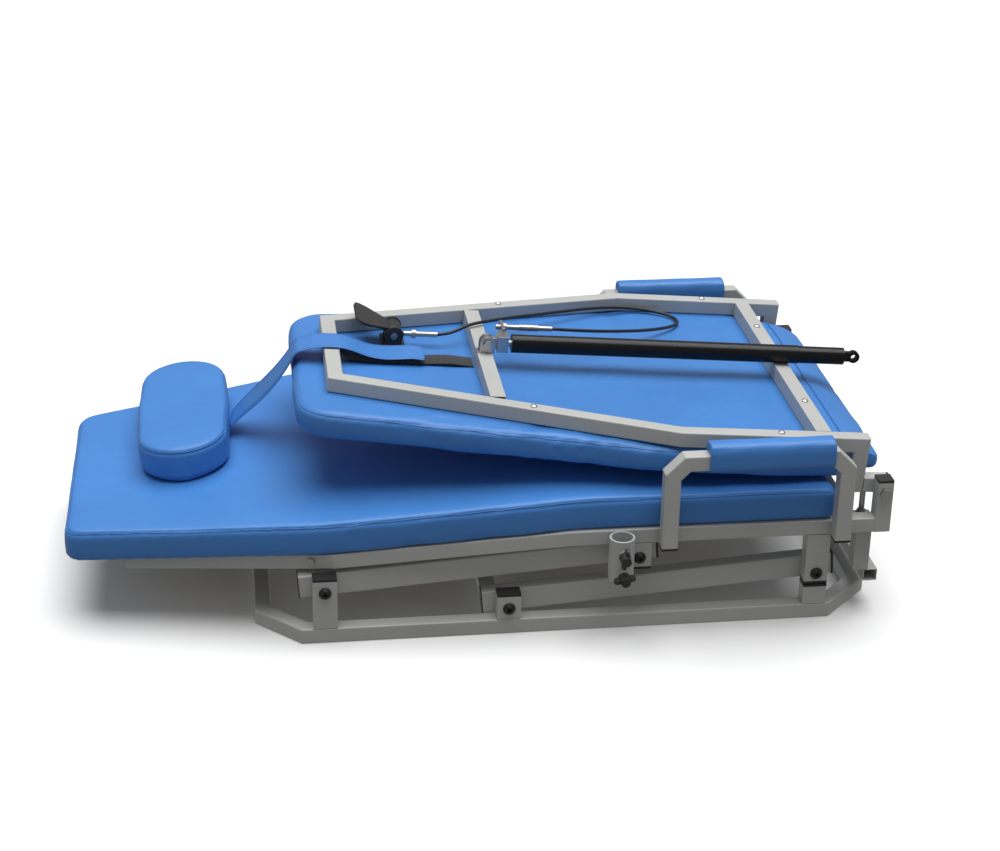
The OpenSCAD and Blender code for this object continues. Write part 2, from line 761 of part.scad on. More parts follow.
// Free part of the strap, from its fold down to the pillow's side
module strap_tail() color("royalblue") place() hull() {
    rod_y(fold_x, fold_z, strap_y - strap_w / 2, strap_y + strap_w / 2, strap_t / 2);
    translate([pillow[0] + pillow_size[0] / 2 + 0.5, pillow[1] - strap_w / 2 - 4, pillow_z + 22])
        cube([strap_t, strap_w, strap_t]);
}

module head_pillow() color("royalblue") place() translate([pillow[0], pillow[1], pillow_z])
    rotate([0, -foot_drop, 0]) linear_extrude(pillow_size[2]) {
        r = pillow_size[0] / 2;
        straight = pillow_size[1] - pillow_size[0];
        translate([-r, -straight / 2]) square([2 * r, straight]);
        for (side = [-1, 1]) translate([0, side * straight / 2]) circle(r);
    }

// ---- gas spring ----

pin_r = spring_pin_d / 2;

module spring_clevis() color("silver") place_back() difference() {
    union() {
        translate([pin_x - 14, -8, back_top]) cube([25, 16, 2]);
        for (y = [-8, 4.5]) {
            translate([pin_x - 11, y, back_top + 1]) cube([22, 3.5, spring_z - back_top - 1]);
            rod_y(pin_x, spring_z, y, y + 3.5, 11);
        }
    }
    rod_y(pin_x, spring_z, -9, 9, pin_r + clearance);
}

module clevis_pin() color("silver") place_back() {
    rod_y(pin_x, spring_z, -8.01, 12, pin_r);
    hex_y(pin_x, spring_z, -13, -8, 7);
    hex_y(pin_x, spring_z, 8.2, 12, 7);
}

// Release head: a tang between the clevis ears, a block, and the bracket for the cable
module spring_head() color("silver") place_back() difference() {
    union() {
        rod_y(pin_x, spring_z, -4, 4, 10);
        translate([pin_x, -4, spring_z - 8]) cube([20, 8, 16]);
        translate([pin_x + 14, -11, spring_z - 11]) cube([16, 22, 24]);
        translate([pin_x + 22, 10, cable_end[2] - 8]) cube([4, 34, 16]);
    }
    rod_y(pin_x, spring_z, -5, 5, pin_r + clearance);
    rod_x(cable_end[1], cable_end[2], pin_x, pin_x + 40, 4);
}

module head_cable_fitting() color("silver") place_back() {
    y = cable_end[1];
    z = cable_end[2];
    rod_x(y, z, pin_x + 16, cable_end[0], 4);
    rod_x(y, z, pin_x + 26, pin_x + 31, 6.5);
    rod_x(y, z, pin_x + 50, pin_x + 78, 5);
}

cylinder_r = sleeve_d / 2 - 0.85;
rod_r = 5;
rod_end = sleeve_start + 220;

module spring_sleeve() color("black") place_back() difference() {
    rod_x(0, spring_z, sleeve_foot, sleeve_end, sleeve_d / 2);
    rod_x(0, spring_z, sleeve_start + 2, sleeve_end + 1, cylinder_r + clearance);
    rod_x(0, spring_z, sleeve_foot - 1, sleeve_start + 3, rod_r + clearance);
}

module spring_rod() color("silver") place_back() rod_x(0, spring_z, pin_x + 30, rod_end, rod_r);

module spring_cylinder() color("black") place_back() difference() {
    union() {
        rod_x(0, spring_z, sleeve_start + 2.5, eye_x - 16, cylinder_r);
        translate([eye_x - 17, -4, spring_z - 7]) cube([17, 8, 14]);
        rod_y(eye_x, spring_z, -4, 4, eye_r);
    }
    rod_x(0, spring_z, sleeve_start + 2, rod_end + 4, rod_r + clearance);
    rod_y(eye_x, spring_z, -5, 5, pin_r + clearance);
}

// ---- output ----

base_loop();
front_posts();
rear_posts();
rest_stubs();
base_caps();
lower_pivot_bolts();
lower_pivot_nuts();
front_leg_tubes();
front_leg_crossbar();
front_leg_caps();
rear_leg_tubes();
rear_leg_crossbar();
rear_leg_caps();
seat_rails();
seat_crossbars();
front_hangers();
rear_hangers();
seat_caps();
upper_pivot_bolts();
upper_pivot_nuts();
hinge_posts();
hinge_bolts();
drop_tubes();
stop_bolts();
anchor_tube();
seat_board();
seat_pad();
seat_side_bolts();
pole_socket();
upper_wing_knob();
lower_wing_knob();
armrest_frames();
near_armrest_pad();
far_armrest_pad();
armrest_caps();
armrest_standoffs();
back_rails();
back_crossbars();
hinge_arms();
hinge_arm_caps();
back_board();
back_pad();
back_screws();
spring_clevis();
clevis_pin();
lever_bracket();
lever_pin();
lever_cable_fitting();
cable_jacket();
head_strap();
hook_tape();
release_lever();
spring_head();
head_cable_fitting();
spring_sleeve();
spring_rod();
spring_cylinder();
strap_tail();
head_pillow();
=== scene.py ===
"""Looks of the folding treatment couch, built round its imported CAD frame."""

import json
import math

import bmesh
import bpy
import numpy as np
from mathutils import Matrix, Vector
from mathutils.bvhtree import BVHTree
from mathutils.kdtree import KDTree


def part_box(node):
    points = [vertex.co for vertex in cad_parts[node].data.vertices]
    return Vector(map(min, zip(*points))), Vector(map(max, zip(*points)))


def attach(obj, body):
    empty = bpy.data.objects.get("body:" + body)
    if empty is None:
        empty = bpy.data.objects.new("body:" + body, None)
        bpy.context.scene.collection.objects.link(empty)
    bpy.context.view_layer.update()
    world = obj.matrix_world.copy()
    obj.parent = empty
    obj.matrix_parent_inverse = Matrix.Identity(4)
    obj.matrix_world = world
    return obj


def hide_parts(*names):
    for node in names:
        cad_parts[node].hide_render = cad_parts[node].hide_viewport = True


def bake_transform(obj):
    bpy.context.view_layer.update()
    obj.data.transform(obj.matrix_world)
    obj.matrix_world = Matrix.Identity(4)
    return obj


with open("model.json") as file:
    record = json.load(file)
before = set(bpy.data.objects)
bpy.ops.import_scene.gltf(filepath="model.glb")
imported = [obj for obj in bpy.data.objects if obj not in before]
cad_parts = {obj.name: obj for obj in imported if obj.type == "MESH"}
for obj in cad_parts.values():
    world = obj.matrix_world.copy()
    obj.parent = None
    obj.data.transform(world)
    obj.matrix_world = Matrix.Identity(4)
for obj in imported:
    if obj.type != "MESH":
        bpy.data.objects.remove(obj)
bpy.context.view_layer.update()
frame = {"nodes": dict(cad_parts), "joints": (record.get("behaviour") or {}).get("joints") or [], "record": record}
nodes = frame["nodes"]
joints = {j["name"]: j for j in frame["joints"]}
scene = bpy.context.scene
MM = 0.001

# Two frames of the drawing, both in mm: DRAW is the base's own, BACK the folded backrest's,
# with its origin on the hip hinge.
HIP = Vector((0.862, 0, 0.19))
hinge = Vector(joints["recline"]["pos_m"])
slide = joints["spring_stroke"]["axis"]
tilt = math.atan2(-slide[2], slide[0])
SCALE = Matrix.Scale(MM, 4)
DRAW = Matrix.Translation(hinge - HIP) @ SCALE
BACK = Matrix.Translation(hinge) @ Matrix.Rotation(tilt, 4, "Y") @ SCALE
FOOT_ANGLE = math.radians(5.1)
FOOT_SLOPE = math.tan(FOOT_ANGLE)
KNEE = 430
PHASE = 6.28    # about a full turn, for the phases of seeded waves


# ---- camera ----

CAMERA_AT = (-0.32435, -2.70305, 1.4429)
CAMERA_ANGLES = (7.733, 24.706, 0.931)    # yaw, pitch and roll, in degrees
CAMERA_LENS = 74.12


def make_camera():
    """The photo's camera, as found by a fit."""
    yaw, pitch, roll = (math.radians(a) for a in CAMERA_ANGLES)
    forward = Vector((math.sin(yaw) * math.cos(pitch), math.cos(yaw) * math.cos(pitch),
                      -math.sin(pitch)))
    right = Vector((math.cos(yaw), -math.sin(yaw), 0))
    up = right.cross(forward)
    x = math.cos(roll) * right + math.sin(roll) * up
    y = -math.sin(roll) * right + math.cos(roll) * up
    data = bpy.data.cameras.new("camera")
    data.lens = CAMERA_LENS
    data.sensor_width = 36
    data.clip_end = 50
    camera = bpy.data.objects.new("camera", data)
    scene.collection.objects.link(camera)
    turn = Matrix((x, y, -forward)).transposed().to_4x4()
    camera.matrix_world = Matrix.Translation(CAMERA_AT) @ turn
    scene.camera = camera


make_camera()


# ---- mesh helpers ----

def new_object(name, verts, faces, place=None, smooth=True):
    """Mesh object in metres; place turns vertices given in the drawing's mm into metres."""
    mesh = bpy.data.meshes.new(name)
    mesh.from_pydata([tuple(v) for v in verts], [], faces)
    if place is not None:
        mesh.transform(place)
    mesh.validate()
    shape = bmesh.new()
    shape.from_mesh(mesh)
    bmesh.ops.recalc_face_normals(shape, faces=shape.faces)
    shape.to_mesh(mesh)
    shape.free()
    obj = bpy.data.objects.new(name, mesh)
    scene.collection.objects.link(obj)
    if smooth:
        mesh.shade_smooth()
    return obj


def coords(obj):
    co = np.empty(len(obj.data.vertices) * 3)
    obj.data.vertices.foreach_get("co", co)
    return co.reshape(-1, 3)


def set_coords(obj, co):
    obj.data.vertices.foreach_set("co", np.asarray(co, np.float32).ravel())
    obj.data.update()


def apply_modifiers(obj):
    graph = bpy.context.evaluated_depsgraph_get()
    mesh = bpy.data.meshes.new_from_object(obj.evaluated_get(graph))
    obj.modifiers.clear()
    obj.data = mesh


def subdivide(obj):
    mod = obj.modifiers.new("smooth", "SUBSURF")
    mod.levels = mod.render_levels = 1
    apply_modifiers(obj)
    obj.data.shade_smooth()


def catmull(points, steps):
    """Smooth line through the points, as the CAD draws its cable."""
    p = [Vector(q) for q in points]
    line = []
    for i in range(len(p) - 1):
        a, b, c, d = p[max(i - 1, 0)], p[i], p[i + 1], p[min(i + 2, len(p) - 1)]
        for k in range(steps):
            t = k / steps
            line.append(0.5 * (2 * b + (c - a) * t + (2 * a - 5 * b + 4 * c - d) * t * t
                               + (3 * b - a - 3 * c + d) * t ** 3))
    return line + [p[-1]]


def ring_faces(rings, around, closed=False, capped=True):
    """Quads between equal rings of vertices; an open run gets a cap at both ends."""
    faces = []
    for i in range(rings if closed else rings - 1):
        a, b = i * around, (i + 1) % rings * around
        for k in range(around):
            m = (k + 1) % around
            faces.append((a + k, a + m, b + m, b + k))
    if capped and not closed:
        faces.append(tuple(range(around))[::-1])
        faces.append(tuple((rings - 1) * around + k for k in range(around)))
    return faces


def tube(line, radius, sides, closed=False):
    """Round tube along a line; radius is one value, or a list with one for each point."""
    n = len(line)
    radii = radius if isinstance(radius, list) else [radius] * n
    verts = []
    side = None
    for i, p in enumerate(line):
        a = line[(i - 1) % n] if closed or i else line[0]
        b = line[(i + 1) % n] if closed or i < n - 1 else line[-1]
        along = (b - a).normalized()
        if side is None:
            side = along.orthogonal().normalized()
        side = (side - along * side.dot(along)).normalized()
        up = along.cross(side)
        for k in range(sides):
            angle = 2 * math.pi * k / sides
            verts.append(p + radii[i] * (math.cos(angle) * side + math.sin(angle) * up))
    return verts, ring_faces(n, sides, closed)


CORNER_STEPS = 12


def rounded_outline(corners, spacing):
    """Closed outline, anticlockwise, from (x, y, corner radius), resampled evenly."""
    pts = []
    n = len(corners)
    for i, (x, y, r) in enumerate(corners):
        c = Vector((x, y))
        u = (Vector(corners[i - 1][:2]) - c).normalized()
        v = (Vector(corners[(i + 1) % n][:2]) - c).normalized()
        half = u.angle(v) / 2
        reach = r / math.tan(half)
        mid = c + (u + v).normalized() * r / math.sin(half)
        s, e = c + u * reach - mid, c + v * reach - mid
        for k in range(CORNER_STEPS + 1):
            t = k / CORNER_STEPS
            pts.append(mid + (s * (1 - t) + e * t).normalized() * r)
    return resample(pts, spacing)


def resample(pts, spacing):
    loop = np.array([tuple(p) for p in pts] + [tuple(pts[0])])
    run = np.concatenate([[0], np.cumsum(np.linalg.norm(np.diff(loop, axis=0), axis=1))])
    count = int(round(run[-1] / spacing))
    at = np.linspace(0, run[-1], count, endpoint=False)
    return np.stack([np.interp(at, run, loop[:, k]) for k in range(loop.shape[1])], axis=1)


def inward(loop):
    """Unit normals of an anticlockwise loop, to its inside."""
    along = np.roll(loop, -1, 0) - np.roll(loop, 1, 0)
    along /= np.linalg.norm(along, axis=1)[:, None]
    return np.stack([-along[:, 1], along[:, 0]], axis=1)


def lofted(name, loop, profile):
    """Closed body from a plan outline and a side profile of (inset, height), bottom first."""
    normal = inward(loop)
    verts = []
    for inset, z in profile:
        verts += [(x, y, z) for x, y in loop + normal * inset]
    return new_object(name, verts, ring_faces(len(profile), len(loop)))


SWELL_FRAMES = 20
GRIP_LEVELS = 10


def inflate(obj, voxel, hold, cap, pressure=4.0):
    """Remeshes a cushion and lets its cover swell like cloth, by at most cap at any point.

    hold(co) gives each point's grip, from 0 for free to 1 for pinned.
    """
    mod = obj.modifiers.new("remesh", "REMESH")
    mod.mode = "VOXEL"
    mod.voxel_size = voxel
    apply_modifiers(obj)
    start = coords(obj)
    group = obj.vertex_groups.new(name="hold")
    weight = hold(start)
    for level in range(1, GRIP_LEVELS + 1):
        picked = np.nonzero(np.round(weight * GRIP_LEVELS) == level)[0].tolist()
        if picked:
            group.add(picked, level / GRIP_LEVELS, "REPLACE")
    cloth = obj.modifiers.new("cloth", "CLOTH")
    s = cloth.settings
    s.quality = 4
    s.mass = 0.3
    s.tension_stiffness = s.compression_stiffness = 25
    s.shear_stiffness = 8
    s.bending_stiffness = 1.0
    s.use_pressure = True
    s.uniform_pressure_force = pressure
    s.vertex_group_mass = "hold"
    s.effector_weights.gravity = 0
    cloth.collision_settings.use_collision = False
    cloth.point_cache.frame_start = 1
    cloth.point_cache.frame_end = SWELL_FRAMES
    for f in range(1, SWELL_FRAMES + 1):
        scene.frame_set(f)
    graph = bpy.context.evaluated_depsgraph_get()
    mesh = obj.evaluated_get(graph).to_mesh()
    end = np.empty(len(mesh.vertices) * 3)
    mesh.vertices.foreach_get("co", end)
    end = end.reshape(-1, 3)
    obj.evaluated_get(graph).to_mesh_clear()
    obj.modifiers.clear()
    obj.vertex_groups.clear()
    move = end - start
    far = np.linalg.norm(move, axis=1)[:, None]
    set_coords(obj, start + move * np.minimum(1, cap / np.maximum(far, 1e-9)))
    scene.frame_set(1)
    relax = obj.modifiers.new("relax", "SMOOTH")
    relax.factor = 0.5
    relax.iterations = 5
    apply_modifiers(obj)
    subdivide(obj)
    return obj


def nearest_on(loop, co):
    """For each point: index of the closest outline point in plan, and its distance."""
    tree = KDTree(len(loop))
    for i, p in enumerate(loop):
        tree.insert((p[0], p[1], 0), i)
    tree.balance()
    found = [tree.find((c[0], c[1], 0)) for c in co]
    return np.array([f[1] for f in found]), np.array([f[2] for f in found])


def wave(at, seed, low, high, count):
    """Sum of seeded sines along a perimeter, from -1 to 1 or so."""
    rng = np.random.default_rng(seed)
    total = np.zeros_like(at)
    for _ in range(count):
        total += (np.sin(at / rng.uniform(low, high) * 2 * math.pi + rng.uniform(0, PHASE))
                  * rng.uniform(0.4, 1))
    return total / count


def unevenness(co, seed, count, short, long):
    """Sum of seeded waves over the plan of a cushion, with lengths from short to long."""
    rng = np.random.default_rng(seed)
    lift = np.zeros(len(co))
    for _ in range(count):
        k = rng.uniform(-1, 1, 2) / rng.uniform(short, long) * PHASE
        lift += np.sin(co[:, 0] * k[0] + co[:, 1] * k[1] + rng.uniform(0, PHASE))
    return lift


SEAM_BAND = 22      # how far above and below a seam the cover can be drawn in
SEAM_DEPTH = 16     # how far inside the outline the cover still counts as a side
PUCKER_BAND = 9


def seam_groove(obj, loop, height, depth, width, pucker, seed):
    """Draws a sewn seam into a cushion's side at a height, with small puckers beside it."""
    co = coords(obj)
    z = co[:, 2]
    near = np.abs(z - height) < SEAM_BAND
    index, gap = nearest_on(loop, co[near])
    side = gap < SEAM_DEPTH
    normal = inward(loop)[index]
    d = z[near] - height
    spacing = np.linalg.norm(loop[1] - loop[0])
    ripple = wave(index * spacing, seed, 9, 24, 7) * np.exp(-(d / PUCKER_BAND) ** 2) * pucker
    pull = (depth * np.exp(-(d / width) ** 2) + ripple) * side
    moved = co[near]
    moved[:, :2] += normal * pull[:, None]
    co[near] = moved
    set_coords(obj, co)


def on_surface(obj, points, lift):
    """Points moved to the nearest place on a mesh and lifted off it."""
    tree = BVHTree.FromObject(obj, bpy.context.evaluated_depsgraph_get())
    out = []
    for p in points:
        spot, normal, _, _ = tree.find_nearest(Vector(p))
        out.append(spot + normal * lift)
    return out


def seam_line(name, cushion, points, radius, lift, place, body, closed=True):
    """Raised sewn welt along a cushion, in the drawing's mm before it is placed."""
    line = on_surface(cushion, points, lift)
    verts, faces = tube(line, radius, 6, closed)
    obj = new_object(name, verts, faces, place)
    dress(obj, "vinyl_seam")
    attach(obj, body)


# ---- materials ----

def shader(name, **values):
    mat = bpy.data.materials.new(name)
    mat.use_nodes = True
    bsdf = mat.node_tree.nodes["Principled BSDF"]
    for key, value in values.items():
        bsdf.inputs[key.replace("_", " ")].default_value = value
    return mat, mat.node_tree, bsdf


def link(tree, a, b):
    tree.links.new(a, b)


def noise(tree, scale, detail=3.0, roughness=0.55, stretch=None):
    """Noise over the object's own coordinates, in metres."""
    where = tree.nodes.new("ShaderNodeTexCoord").outputs["Object"]
    if stretch:
        mapping = tree.nodes.new("ShaderNodeMapping")
        mapping.inputs["Scale"].default_value = stretch
        link(tree, where, mapping.inputs["Vector"])
        where = mapping.outputs["Vector"]
    node = tree.nodes.new("ShaderNodeTexNoise")
    node.inputs["Scale"].default_value = scale
    node.inputs["Detail"].default_value = detail
    node.inputs["Roughness"].default_value = roughness
    link(tree, where, node.inputs["Vector"])
    return node.outputs["Fac"]


def ramp(tree, fac, stops):
    node = tree.nodes.new("ShaderNodeValToRGB")
    els = node.color_ramp.elements
    while len(els) < len(stops):
        els.new(0.5)
    for el, (at, color) in zip(els, stops):
        el.position = at
        el.color = color if hasattr(color, "__len__") else (color, color, color, 1)
    link(tree, fac, node.inputs["Fac"])
    return node.outputs["Color"]


def bump(tree, height, strength, distance, under=None):
    node = tree.nodes.new("ShaderNodeBump")
    node.inputs["Strength"].default_value = strength
    node.inputs["Distance"].default_value = distance
    link(tree, height, node.inputs["Height"])
    if under:
        link(tree, under, node.inputs["Normal"])
    return node.outputs["Normal"]


def scaled(color, k):
    return tuple(min(1, c * k) for c in color[:3]) + (1,)


ROUGH_SPREAD = 0.06


def simple(name, color, rough, grain, depth, tint=0.08, scale=14, **values):
    """Solid finish with slow colour drift, uneven gloss and a fine grain."""
    mat, tree, bsdf = shader(name, **values)
    slow = noise(tree, scale, 4)
    link(tree, ramp(tree, slow, [(0.3, scaled(color, 1 - tint)), (0.7, scaled(color, 1 + tint))]),
         bsdf.inputs["Base Color"])
    gloss = noise(tree, scale * 5, 5)
    link(tree, ramp(tree, gloss, [(0.3, rough - ROUGH_SPREAD), (0.75, rough + ROUGH_SPREAD)]),
         bsdf.inputs["Roughness"])
    fine = noise(tree, grain, 2)
    link(tree, bump(tree, fine, 0.35, depth), bsdf.inputs["Normal"])
    return mat


def voronoi(tree, scale, feature="DISTANCE_TO_EDGE"):
    where = tree.nodes.new("ShaderNodeTexCoord").outputs["Object"]
    node = tree.nodes.new("ShaderNodeTexVoronoi")
    node.feature = feature
    node.inputs["Scale"].default_value = scale
    link(tree, where, node.inputs["Vector"])
    return node.outputs["Distance"]


VINYL = (0.052, 0.208, 0.560, 1)


def vinyl(name, color):
    """Soft upholstery vinyl: a fine leather grain over faint creases."""
    mat, tree, bsdf = shader(name, Specular_IOR_Level=0.42)
    slow = noise(tree, 5, 4)
    link(tree, ramp(tree, slow, [(0.3, scaled(color, 0.93)), (0.7, scaled(color, 1.06))]),
         bsdf.inputs["Base Color"])
    gloss = noise(tree, 30, 5)
    link(tree, ramp(tree, gloss, [(0.3, 0.36), (0.75, 0.48)]), bsdf.inputs["Roughness"])
    crease = noise(tree, 11, 5, 0.6, (1.0, 2.2, 1.6))
    cells = ramp(tree, voronoi(tree, 900), [(0.0, 0.0), (0.25, 1.0)])
    first = bump(tree, crease, 0.22, 0.0030)
    link(tree, bump(tree, cells, 0.25, 0.00018, first), bsdf.inputs["Normal"])
    return mat


def paint():
    """Satin grey powder coat with orange peel and faint scuffs."""
    color = (0.455, 0.462, 0.445, 1)
    mat, tree, bsdf = shader("grey_powder_coat", Specular_IOR_Level=0.5)
    slow = noise(tree, 9, 5)
    base = ramp(tree, slow, [(0.3, scaled(color, 0.95)), (0.7, scaled(color, 1.04))])
    scuff = ramp(tree, noise(tree, 55, 8, 0.7, (0.25, 1, 1)),
                 [(0.0, 0.0), (0.66, 0.0), (0.74, 0.35)])
    mix = tree.nodes.new("ShaderNodeMix")
    mix.data_type = "RGBA"
    link(tree, scuff, mix.inputs["Factor"])
    link(tree, base, mix.inputs["A"])
    mix.inputs["B"].default_value = scaled(color, 0.82)
    link(tree, mix.outputs["Result"], bsdf.inputs["Base Color"])
    gloss = noise(tree, 40, 5)
    link(tree, ramp(tree, gloss, [(0.3, 0.36), (0.75, 0.50)]), bsdf.inputs["Roughness"])
    peel = noise(tree, 620, 2)
    link(tree, bump(tree, peel, 0.25, 0.00012), bsdf.inputs["Normal"])
    return mat


def hook_fabric():
    """Hook tape: rows of short stiff loops."""
    mat, tree, bsdf = shader("hook_tape_black", Roughness=0.95, Sheen_Weight=0.3)
    dots = ramp(tree, voronoi(tree, 700, "F1"), [(0.0, 1.0), (0.5, 0.0)])
    shades = [(0.0, (0.012, 0.012, 0.013, 1)), (1.0, (0.045, 0.045, 0.05, 1))]
    link(tree, ramp(tree, dots, shades), bsdf.inputs["Base Color"])
    link(tree, bump(tree, dots, 0.8, 0.0006), bsdf.inputs["Normal"])
    return mat


def plywood():
    mat, tree, bsdf = shader("birch_ply", Specular_IOR_Level=0.3)
    grain = noise(tree, 16, 7, 0.65, (1, 9, 9))
    shades = [(0.32, (0.20, 0.18, 0.15, 1)), (0.6, (0.27, 0.245, 0.21, 1))]
    link(tree, ramp(tree, grain, shades), bsdf.inputs["Base Color"])
    link(tree, ramp(tree, grain, [(0.3, 0.62), (0.7, 0.75)]), bsdf.inputs["Roughness"])
    link(tree, bump(tree, grain, 0.4, 0.0004), bsdf.inputs["Normal"])
    return mat


ZINC = (0.46, 0.46, 0.455, 1)
BLACK = (0.020, 0.020, 0.022, 1)
MATS = {
    "vinyl": vinyl("blue_vinyl_cover", VINYL),
    "vinyl_seam": vinyl("blue_vinyl_seam", scaled(VINYL, 0.85)),
    "paint": paint(),
    "cap": simple("black_plastic_cap", BLACK, 0.48, 700, 0.0001, Specular_IOR_Level=0.4),
    "bolt": simple("black_oxide", (0.018, 0.018, 0.02, 1), 0.36, 500, 0.00005, Metallic=0.3),
    "zinc": simple("zinc_plate", ZINC, 0.36, 260, 0.00002, tint=0.05, scale=40, Metallic=1.0),
    "moulded": simple("black_moulding", (0.024, 0.024, 0.025, 1), 0.42, 850, 0.00015),
    "gloss": simple("gloss_black_paint", (0.0035, 0.0035, 0.004, 1), 0.30, 160, 0.00004,
                    Specular_IOR_Level=0.3),
    "jacket": simple("cable_jacket_black", (0.016, 0.016, 0.017, 1), 0.38, 300, 0.00005),
    "hook": hook_fabric(),
    "ply": plywood(),
}
SLOT_MATS = {
    "painted_tube": "paint", "black_cap": "cap", "black_bolt": "bolt", "zinc": "zinc",
    "plywood": "ply", "blue_vinyl": "vinyl", "knob_plastic": "moulded", "spring_paint": "gloss",
    "cable_jacket": "jacket", "hook_webbing": "hook",
}


def dress(obj, mat):
    obj.data.materials.clear()
    obj.data.materials.append(MATS[mat])


# Width of the softened edges for each slot, in mm.
EDGE = {"painted_tube": 0.7, "black_cap": 0.6, "black_bolt": 0.35, "zinc": 0.3, "knob_plastic": 0.9,
        "spring_paint": 0.5}


def dress_frame():
    """Every CAD node gets its slot's finish; those of the slots listed in EDGE also get small rounded edges that
    catch the light.
    """
    for entry in frame["record"]["subparts"]:
        obj, slot = nodes[entry["node"]], entry["material_slot"]
        obj.data.materials.clear()
        obj.data.materials.append(MATS[SLOT_MATS[slot]])
        if slot in EDGE:
            weld = obj.modifiers.new("weld", "WELD")
            weld.merge_threshold = 0.00001
            bevel = obj.modifiers.new("edges", "BEVEL")
            bevel.width = EDGE[slot] * MM
            bevel.segments = 2
            bevel.limit_method = "ANGLE"
            bevel.angle_limit = math.radians(32)
            bevel.face_strength_mode = "FSTR_ALL"
            normals = obj.modifiers.new("normals", "WEIGHTED_NORMAL")
            normals.keep_sharp = False
            normals.use_face_influence = True


dress_frame()


# ---- frame tubes ----

TUBE = 22


def tube_section(wide, tall, r=2.2):
    """Rounded section of a square tube, as (side, up) pairs."""
    steps = 3
    pts = []
    for cx, cy, start in ((wide / 2 - r, tall / 2 - r, 0), (r - wide / 2, tall / 2 - r, 90),
                          (r - wide / 2, r - tall / 2, 180), (wide / 2 - r, r - tall / 2, 270)):
        for k in range(steps + 1):
            a = math.radians(start + 90 * k / steps)
            pts.append((cx + r * math.cos(a), cy + r * math.sin(a)))
    return pts


def swept(path, up, section, closed=False):
    """Tube along a path with mitred corners: vertices, faces and the rings' sharp edges."""
    path = [Vector(p) for p in path]
    n, m = len(path), len(section)
    dirs = [(path[(i + 1) % n] - path[i]).normalized() for i in range(n if closed else n - 1)]
    ups = [Vector(up)]
    for a, b in zip(dirs, dirs[1:]):
        ups.append(a.rotation_difference(b) @ ups[-1])
    verts, sharp = [], []
    for i, p in enumerate(path):
        before = dirs[i - 1] if closed or i else None
        after = dirs[i] if i < len(dirs) else None
        d, u = (before, ups[i - 1]) if before is not None else (after, ups[i])
        side = d.cross(u)
        plane = (before + after).normalized() if before is not None and after is not None else d
        for x, y in section:
            q = side * x + u * y
            verts.append(p + q - d * (q.dot(plane) / d.dot(plane)))
        sharp += [(i * m + k, i * m + (k + 1) % m) for k in range(m)]
    return verts, ring_faces(n, m, closed), sharp


def frame_tubes(name, runs, place, body, *stands_for):
    """One piece from several swept tubes, with crisp mitres and softly rounded corners."""
    verts, faces, sharp = [], [], []
    for v, f, e in runs:
        at = len(verts)
        verts += v
        faces += [tuple(i + at for i in face) for face in f]
        sharp += [(a + at, b + at) for a, b in e]
    obj = new_object(name, verts, faces, place)
    marks = {tuple(sorted(e)) for e in sharp}
    for edge in obj.data.edges:
        if tuple(sorted(edge.vertices)) in marks:
            edge.use_edge_sharp = True
    normals = obj.modifiers.new("normals", "WEIGHTED_NORMAL")
    normals.keep_sharp = True
    dress(obj, "paint")
    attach(obj, body)
    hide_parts(*stands_for)


def offset_outline(pts, d):
    """Closed anticlockwise outline moved inwards by d, with mitred corners."""
    out = []
    for i, p in enumerate(pts):
        p = Vector(p)
        a = (p - Vector(pts[i - 1])).normalized()
        b = (Vector(pts[(i + 1) % len(pts)]) - p).normalized()
        na, nb = Vector((-a.y, a.x)), Vector((-b.y, b.x))
        out.append(p + (na + nb) / (1 + na.dot(nb)) * d)
    return out


BASE_HALF, RAIL_HALF, ARM_HALF, BACK_HALF = 286, 275, 302, 252
RAIL_LOW = 130
LEG_TALL, LEG_LEAN = 33, math.radians(-4.2)


def mirrored(points):
    """The same points on the other side, in reverse order."""
    return [(x, -y, *rest) for x, y, *rest in reversed(points)]


def on_foot(x, y):
    """Middle of the seat rail at x along the sloping foot part, counted from the knee."""
    mid = TUBE / 2
    return (KNEE + x * math.cos(FOOT_ANGLE) - mid * math.sin(FOOT_ANGLE) * (x < 0), y,
            RAIL_LOW + x * math.sin(FOOT_ANGLE) + mid * (math.cos(FOOT_ANGLE) if x < 0 else 1))


